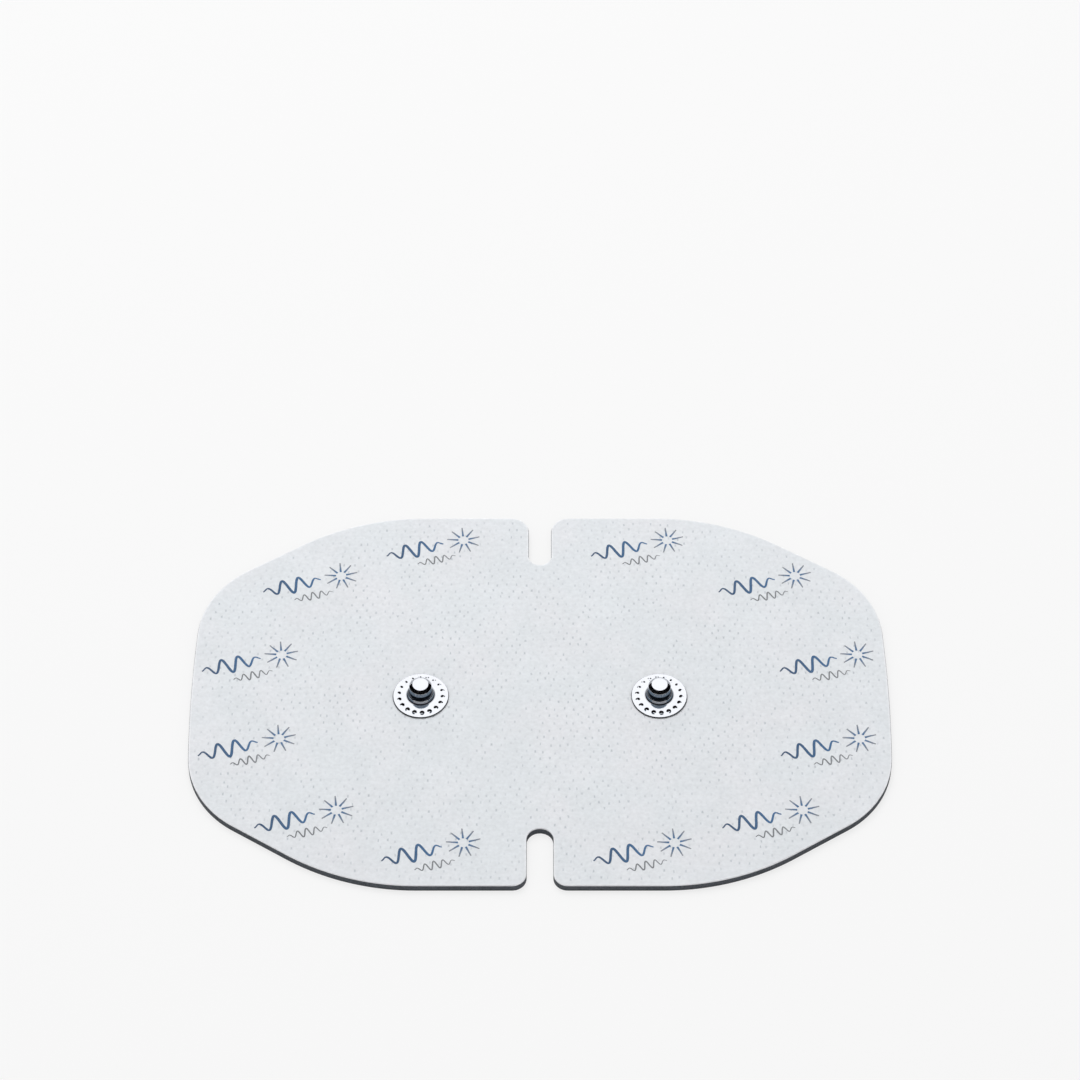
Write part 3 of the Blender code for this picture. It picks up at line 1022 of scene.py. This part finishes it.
def layInk(bm, name, sheet, material):
    # Drops a flat drawing onto the sheet and gives it the thickness of an ink film
    tree = BVHTree.FromObject(sheet, bpy.context.evaluated_depsgraph_get())
    for vert in bm.verts:
        hit = tree.ray_cast(Vector((vert.co.x, vert.co.y, 0.01)), Vector((0, 0, -1)))[0]
        vert.co.z = hit.z + marks["lift"]
    bmesh.ops.recalc_face_normals(bm, faces=bm.faces)
    if sum(face.normal.z for face in bm.faces) < 0:
        bmesh.ops.reverse_faces(bm, faces=bm.faces[:])
    bmesh.ops.solidify(bm, geom=bm.faces[:], thickness=marks["film"])
    return newPiece(bm, name, material, 80)


def printedWaves(kind, sheet, material):
    wave = waves[kind]
    bm = bmesh.new()
    alongLayer = bm.verts.layers.float.new("along")
    for place in markPlaces(wave["shift"]):
        made = bmesh.ops.create_grid(bm, x_segments=wave["steps"], y_segments=2, size=0.5)
        for vert in made["verts"]:
            share = vert.co.x + 0.5
            angle = 2 * math.pi * wave["turns"] * share
            swell = math.sin(math.pi * share) ** 0.8
            rise = wave["height"] * swell * math.sin(angle)
            slope = wave["height"] * swell * math.cos(angle) * 2 * math.pi * wave["turns"]
            side = Vector((-slope, wave["length"])).normalized()
            offset = vert.co.y * wave["stroke"] * (0.45 + 0.55 * swell)
            vert[alongLayer] = share
            vert.co = place @ Vector(
                (vert.co.x * wave["length"] + side.x * offset, rise + side.y * offset, 0.0)
            )
    return layInk(bm, kind + "Print", sheet, material)


def printedBursts(sheet, material):
    bm = bmesh.new()
    alongLayer = bm.verts.layers.float.new("along")
    for place in markPlaces(burst["shift"]):
        for i in range(burst["rays"]):
            turned = place @ Matrix.Rotation(2 * math.pi * i / burst["rays"], 4, "Z")
            made = bmesh.ops.create_grid(bm, x_segments=burst["steps"], y_segments=2, size=0.5)
            for vert in made["verts"]:
                share = vert.co.x + 0.5
                ring = burst["inner"] + (burst["outer"] - burst["inner"]) * share
                half = vert.co.y * burst["stroke"] * (1.0 - 0.45 * share)
                vert[alongLayer] = share
                vert.co = turned @ Vector((ring, half, 0.0))
    return layInk(bm, "burstPrint", sheet, material)


# Making the pieces

sideName = {-1: "Left", 1: "Right"}

coverPiece = nonwovenCover(coverFinish())
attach(coverPiece, "root")
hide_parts("cover_sheet")
print("cover made:", len(coverPiece.data.polygons), "faces")

foamPiece = foamFrame(foamFinish())
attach(foamPiece, "root")
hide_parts("foam_frame")

gelMaterial = gelFinish()
tapeMaterial = tapeFinish()
nickelMaterial = nickelFinish()
carbonMaterial = carbonFinish()
tinnedMaterial = tinnedFinish()
for side, label in ((-1, "left"), (1, "right")):
    gelPiece = skinGel(side, gelMaterial)
    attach(gelPiece, "root")
    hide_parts("gel_pad_" + label)
    patchPiece = tapePatch(side, tapeMaterial)
    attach(patchPiece, "root")
    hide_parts("insulating_patch_" + label)
    studPiece = snapStud(side, nickelMaterial)
    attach(studPiece, "root")
    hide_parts("snap_stud_" + label)
    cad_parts["carbon_film_" + label].material_slots[0].material = carbonMaterial
    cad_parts["snap_eyelet_" + label].material_slots[0].material = tinnedMaterial
    print(label, "pole made: gel, patch, stud, film and eyelet")

for kind, left, right in (
    ("blue", marks["blueLeft"], marks["blueRight"]),
    ("grey", marks["greyLeft"], marks["greyRight"]),
):
    printPiece = printedWaves(kind, coverPiece, inkFinish(kind + "Ink", left, right))
    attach(printPiece, "root")
burstInk = inkFinish("burstInk", marks["blueRight"], marks["greyRight"])
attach(printedBursts(coverPiece, burstInk), "root")
print("print made")


# Floor, light and camera

studio = {
    "floor": (0.947, 0.947, 0.947, 1.0),
    "floorSize": 6.0,
    "floorDrop": 0.02 * mm,
    "floorOwnTone": 0.8,
    "worldStrength": 0.55,
    "lampPower": 4.3,
    "lampSize": 0.6,
    "lampPlace": (-0.12, 0.45, 0.75),
}

# What the metal mirrors
tent = {
    "radius": 1.5,
    # Windows as the lowest and highest angle above the floor, then the nearest and
    # farthest angle from the back on either side, all in degrees
    "windows": [(6.0, 80.0, 0.0, 34.0), (6.0, 18.0, 87.0, 104.0), (8.0, 30.0, 125.0, 181.0)],
    "black": (0.003, 0.003, 0.004, 1.0),
    "softbox": 2.15,
    # the tent's glow where metal is seen in other metal: a painted reflection
    "second": (0.46, 0.59, 0.70, 1.0),
}

view = {
    "place": (0.0, -0.4144, 0.5273),
    "tilt": 40.6,  # degrees up from looking straight down
    "lens": 125.0,
    "sensor": 36.0,
}


def paleFloor():
    # Seen directly, most of the floor's tone is its own, so that shadows stay faint
    mat, tree, shader = newFinish("paleFloor", 0.9, **{"Specular IOR Level": 0.0})
    shader.inputs["Base Color"].default_value = studio["floor"]
    glow = addNode(tree, "ShaderNodeEmission", {"Color": studio["floor"], "Strength": 1.0})
    path = addNode(tree, "ShaderNodeLightPath")
    own = spread(tree, path.outputs["Is Camera Ray"], 0.0, 1.0, 0.0, studio["floorOwnTone"])
    blend = addNode(
        tree, "ShaderNodeMixShader", {0: own, 1: shader.outputs[0], 2: glow.outputs[0]}
    )
    tree.links.new(blend.outputs[0], tree.nodes["Material Output"].inputs["Surface"])
    bm = bmesh.new()
    bmesh.ops.create_grid(bm, x_segments=1, y_segments=1, size=studio["floorSize"] / 2)
    bmesh.ops.translate(bm, verts=bm.verts, vec=(0, 0, -studio["floorDrop"]))
    floor = newPiece(bm, "floor", mat)


def softWorld():
    world = bpy.data.worlds.new("softWorld")
    world.use_nodes = True
    tree = world.node_tree
    back = tree.nodes["Background"]
    path = addNode(tree, "ShaderNodeLightPath")
    seen = path.outputs["Is Camera Ray"]
    for name in ("Is Glossy Ray", "Is Transmission Ray"):
        joined = addNode(
            tree, "ShaderNodeMath", {0: seen, 1: path.outputs[name]}, operation="MAXIMUM"
        )
        seen = joined.outputs[0]
    strength = spread(tree, seen, 0.0, 1.0, studio["worldStrength"], 1.0)
    back.inputs["Color"].default_value = (1.0, 1.0, 1.0, 1.0)
    tree.links.new(strength, back.inputs["Strength"])
    scene.world = world


def softLamp():
    # A broad lamp behind the pad, so that its front is a little darker than its back
    lamp = bpy.data.lights.new("softLamp", "AREA")
    lamp.energy = studio["lampPower"]
    lamp.size = studio["lampSize"]
    panel = bpy.data.objects.new("softLamp", lamp)
    panel.location = studio["lampPlace"]
    panel.rotation_euler = (-panel.location).to_track_quat("-Z", "Y").to_euler()
    panel.visible_glossy = False
    scene.collection.objects.link(panel)


def showOnlyInGloss(piece):
    piece.visible_camera = False
    piece.visible_diffuse = False
    piece.visible_shadow = False
    piece.visible_transmission = False


def darkTent():
    # A black tent that only shows in the metal, with a tall window behind the pad and low
    # ones at its sides and front. Where metal is seen in other metal the tent glows a dim blue,
    # a painted reflection, so folds and grooves stay readable.
    mat, tree, shader = newFinish("tentBlack", 1.0, **{"Specular IOR Level": 0.0})
    shader.inputs["Base Color"].default_value = tent["black"]
    shader.inputs["Emission Color"].default_value = tent["second"]
    path = addNode(tree, "ShaderNodeLightPath")
    again = addNode(
        tree,
        "ShaderNodeMath",
        {0: path.outputs["Glossy Depth"], 1: 1.5},
        operation="GREATER_THAN",
    )
    tree.links.new(again.outputs[0], shader.inputs["Emission Strength"])
    bm = bmesh.new()
    bmesh.ops.create_icosphere(bm, subdivisions=5, radius=tent["radius"])
    gone = []
    for face in bm.faces:
        way = face.calc_center_median().normalized()
        height = math.degrees(math.asin(way.z))
        aside = math.degrees(math.atan2(abs(way.x), way.y))
        inWindow = any(
            low < height < high and near <= aside < far for low, high, near, far in tent["windows"]
        )
        if height < 0 or inWindow:
            gone.append(face)
    bmesh.ops.delete(bm, geom=gone, context="FACES")
    showOnlyInGloss(newPiece(bm, "darkTent", mat))


def softbox():
    # Fills the tent's back window, brighter than the room
    mat = bpy.data.materials.new("softbox")
    mat.use_nodes = True
    tree = mat.node_tree
    tree.nodes.remove(tree.nodes["Principled BSDF"])
    glow = addNode(tree, "ShaderNodeEmission", {"Strength": tent["softbox"]})
    tree.links.new(glow.outputs[0], tree.nodes["Material Output"].inputs["Surface"])
    bm = bmesh.new()
    bmesh.ops.create_grid(bm, x_segments=1, y_segments=1, size=2 * tent["radius"])
    turned = Matrix.Rotation(math.pi / 2, 4, "X")
    place = Matrix.Translation((0.0, 1.1 * tent["radius"], 0.0))
    bmesh.ops.transform(bm, matrix=place @ turned, verts=bm.verts)
    roof = bmesh.ops.create_grid(bm, x_segments=1, y_segments=1, size=2 * tent["radius"])
    bmesh.ops.translate(bm, verts=roof["verts"], vec=(0.0, 0.0, 1.1 * tent["radius"]))
    showOnlyInGloss(newPiece(bm, "softbox", mat))


def photoCamera():
    lens = bpy.data.cameras.new("photoCamera")
    lens.lens = view["lens"]
    lens.sensor_width = view["sensor"]
    lens.clip_start = 0.01
    camera = bpy.data.objects.new("photoCamera", lens)
    camera.location = view["place"]
    camera.rotation_euler = (math.radians(view["tilt"]), 0.0, 0.0)
    scene.collection.objects.link(camera)
    scene.camera = camera


paleFloor()
softWorld()
softLamp()
darkTent()
softbox()
photoCamera()
print("studio made")
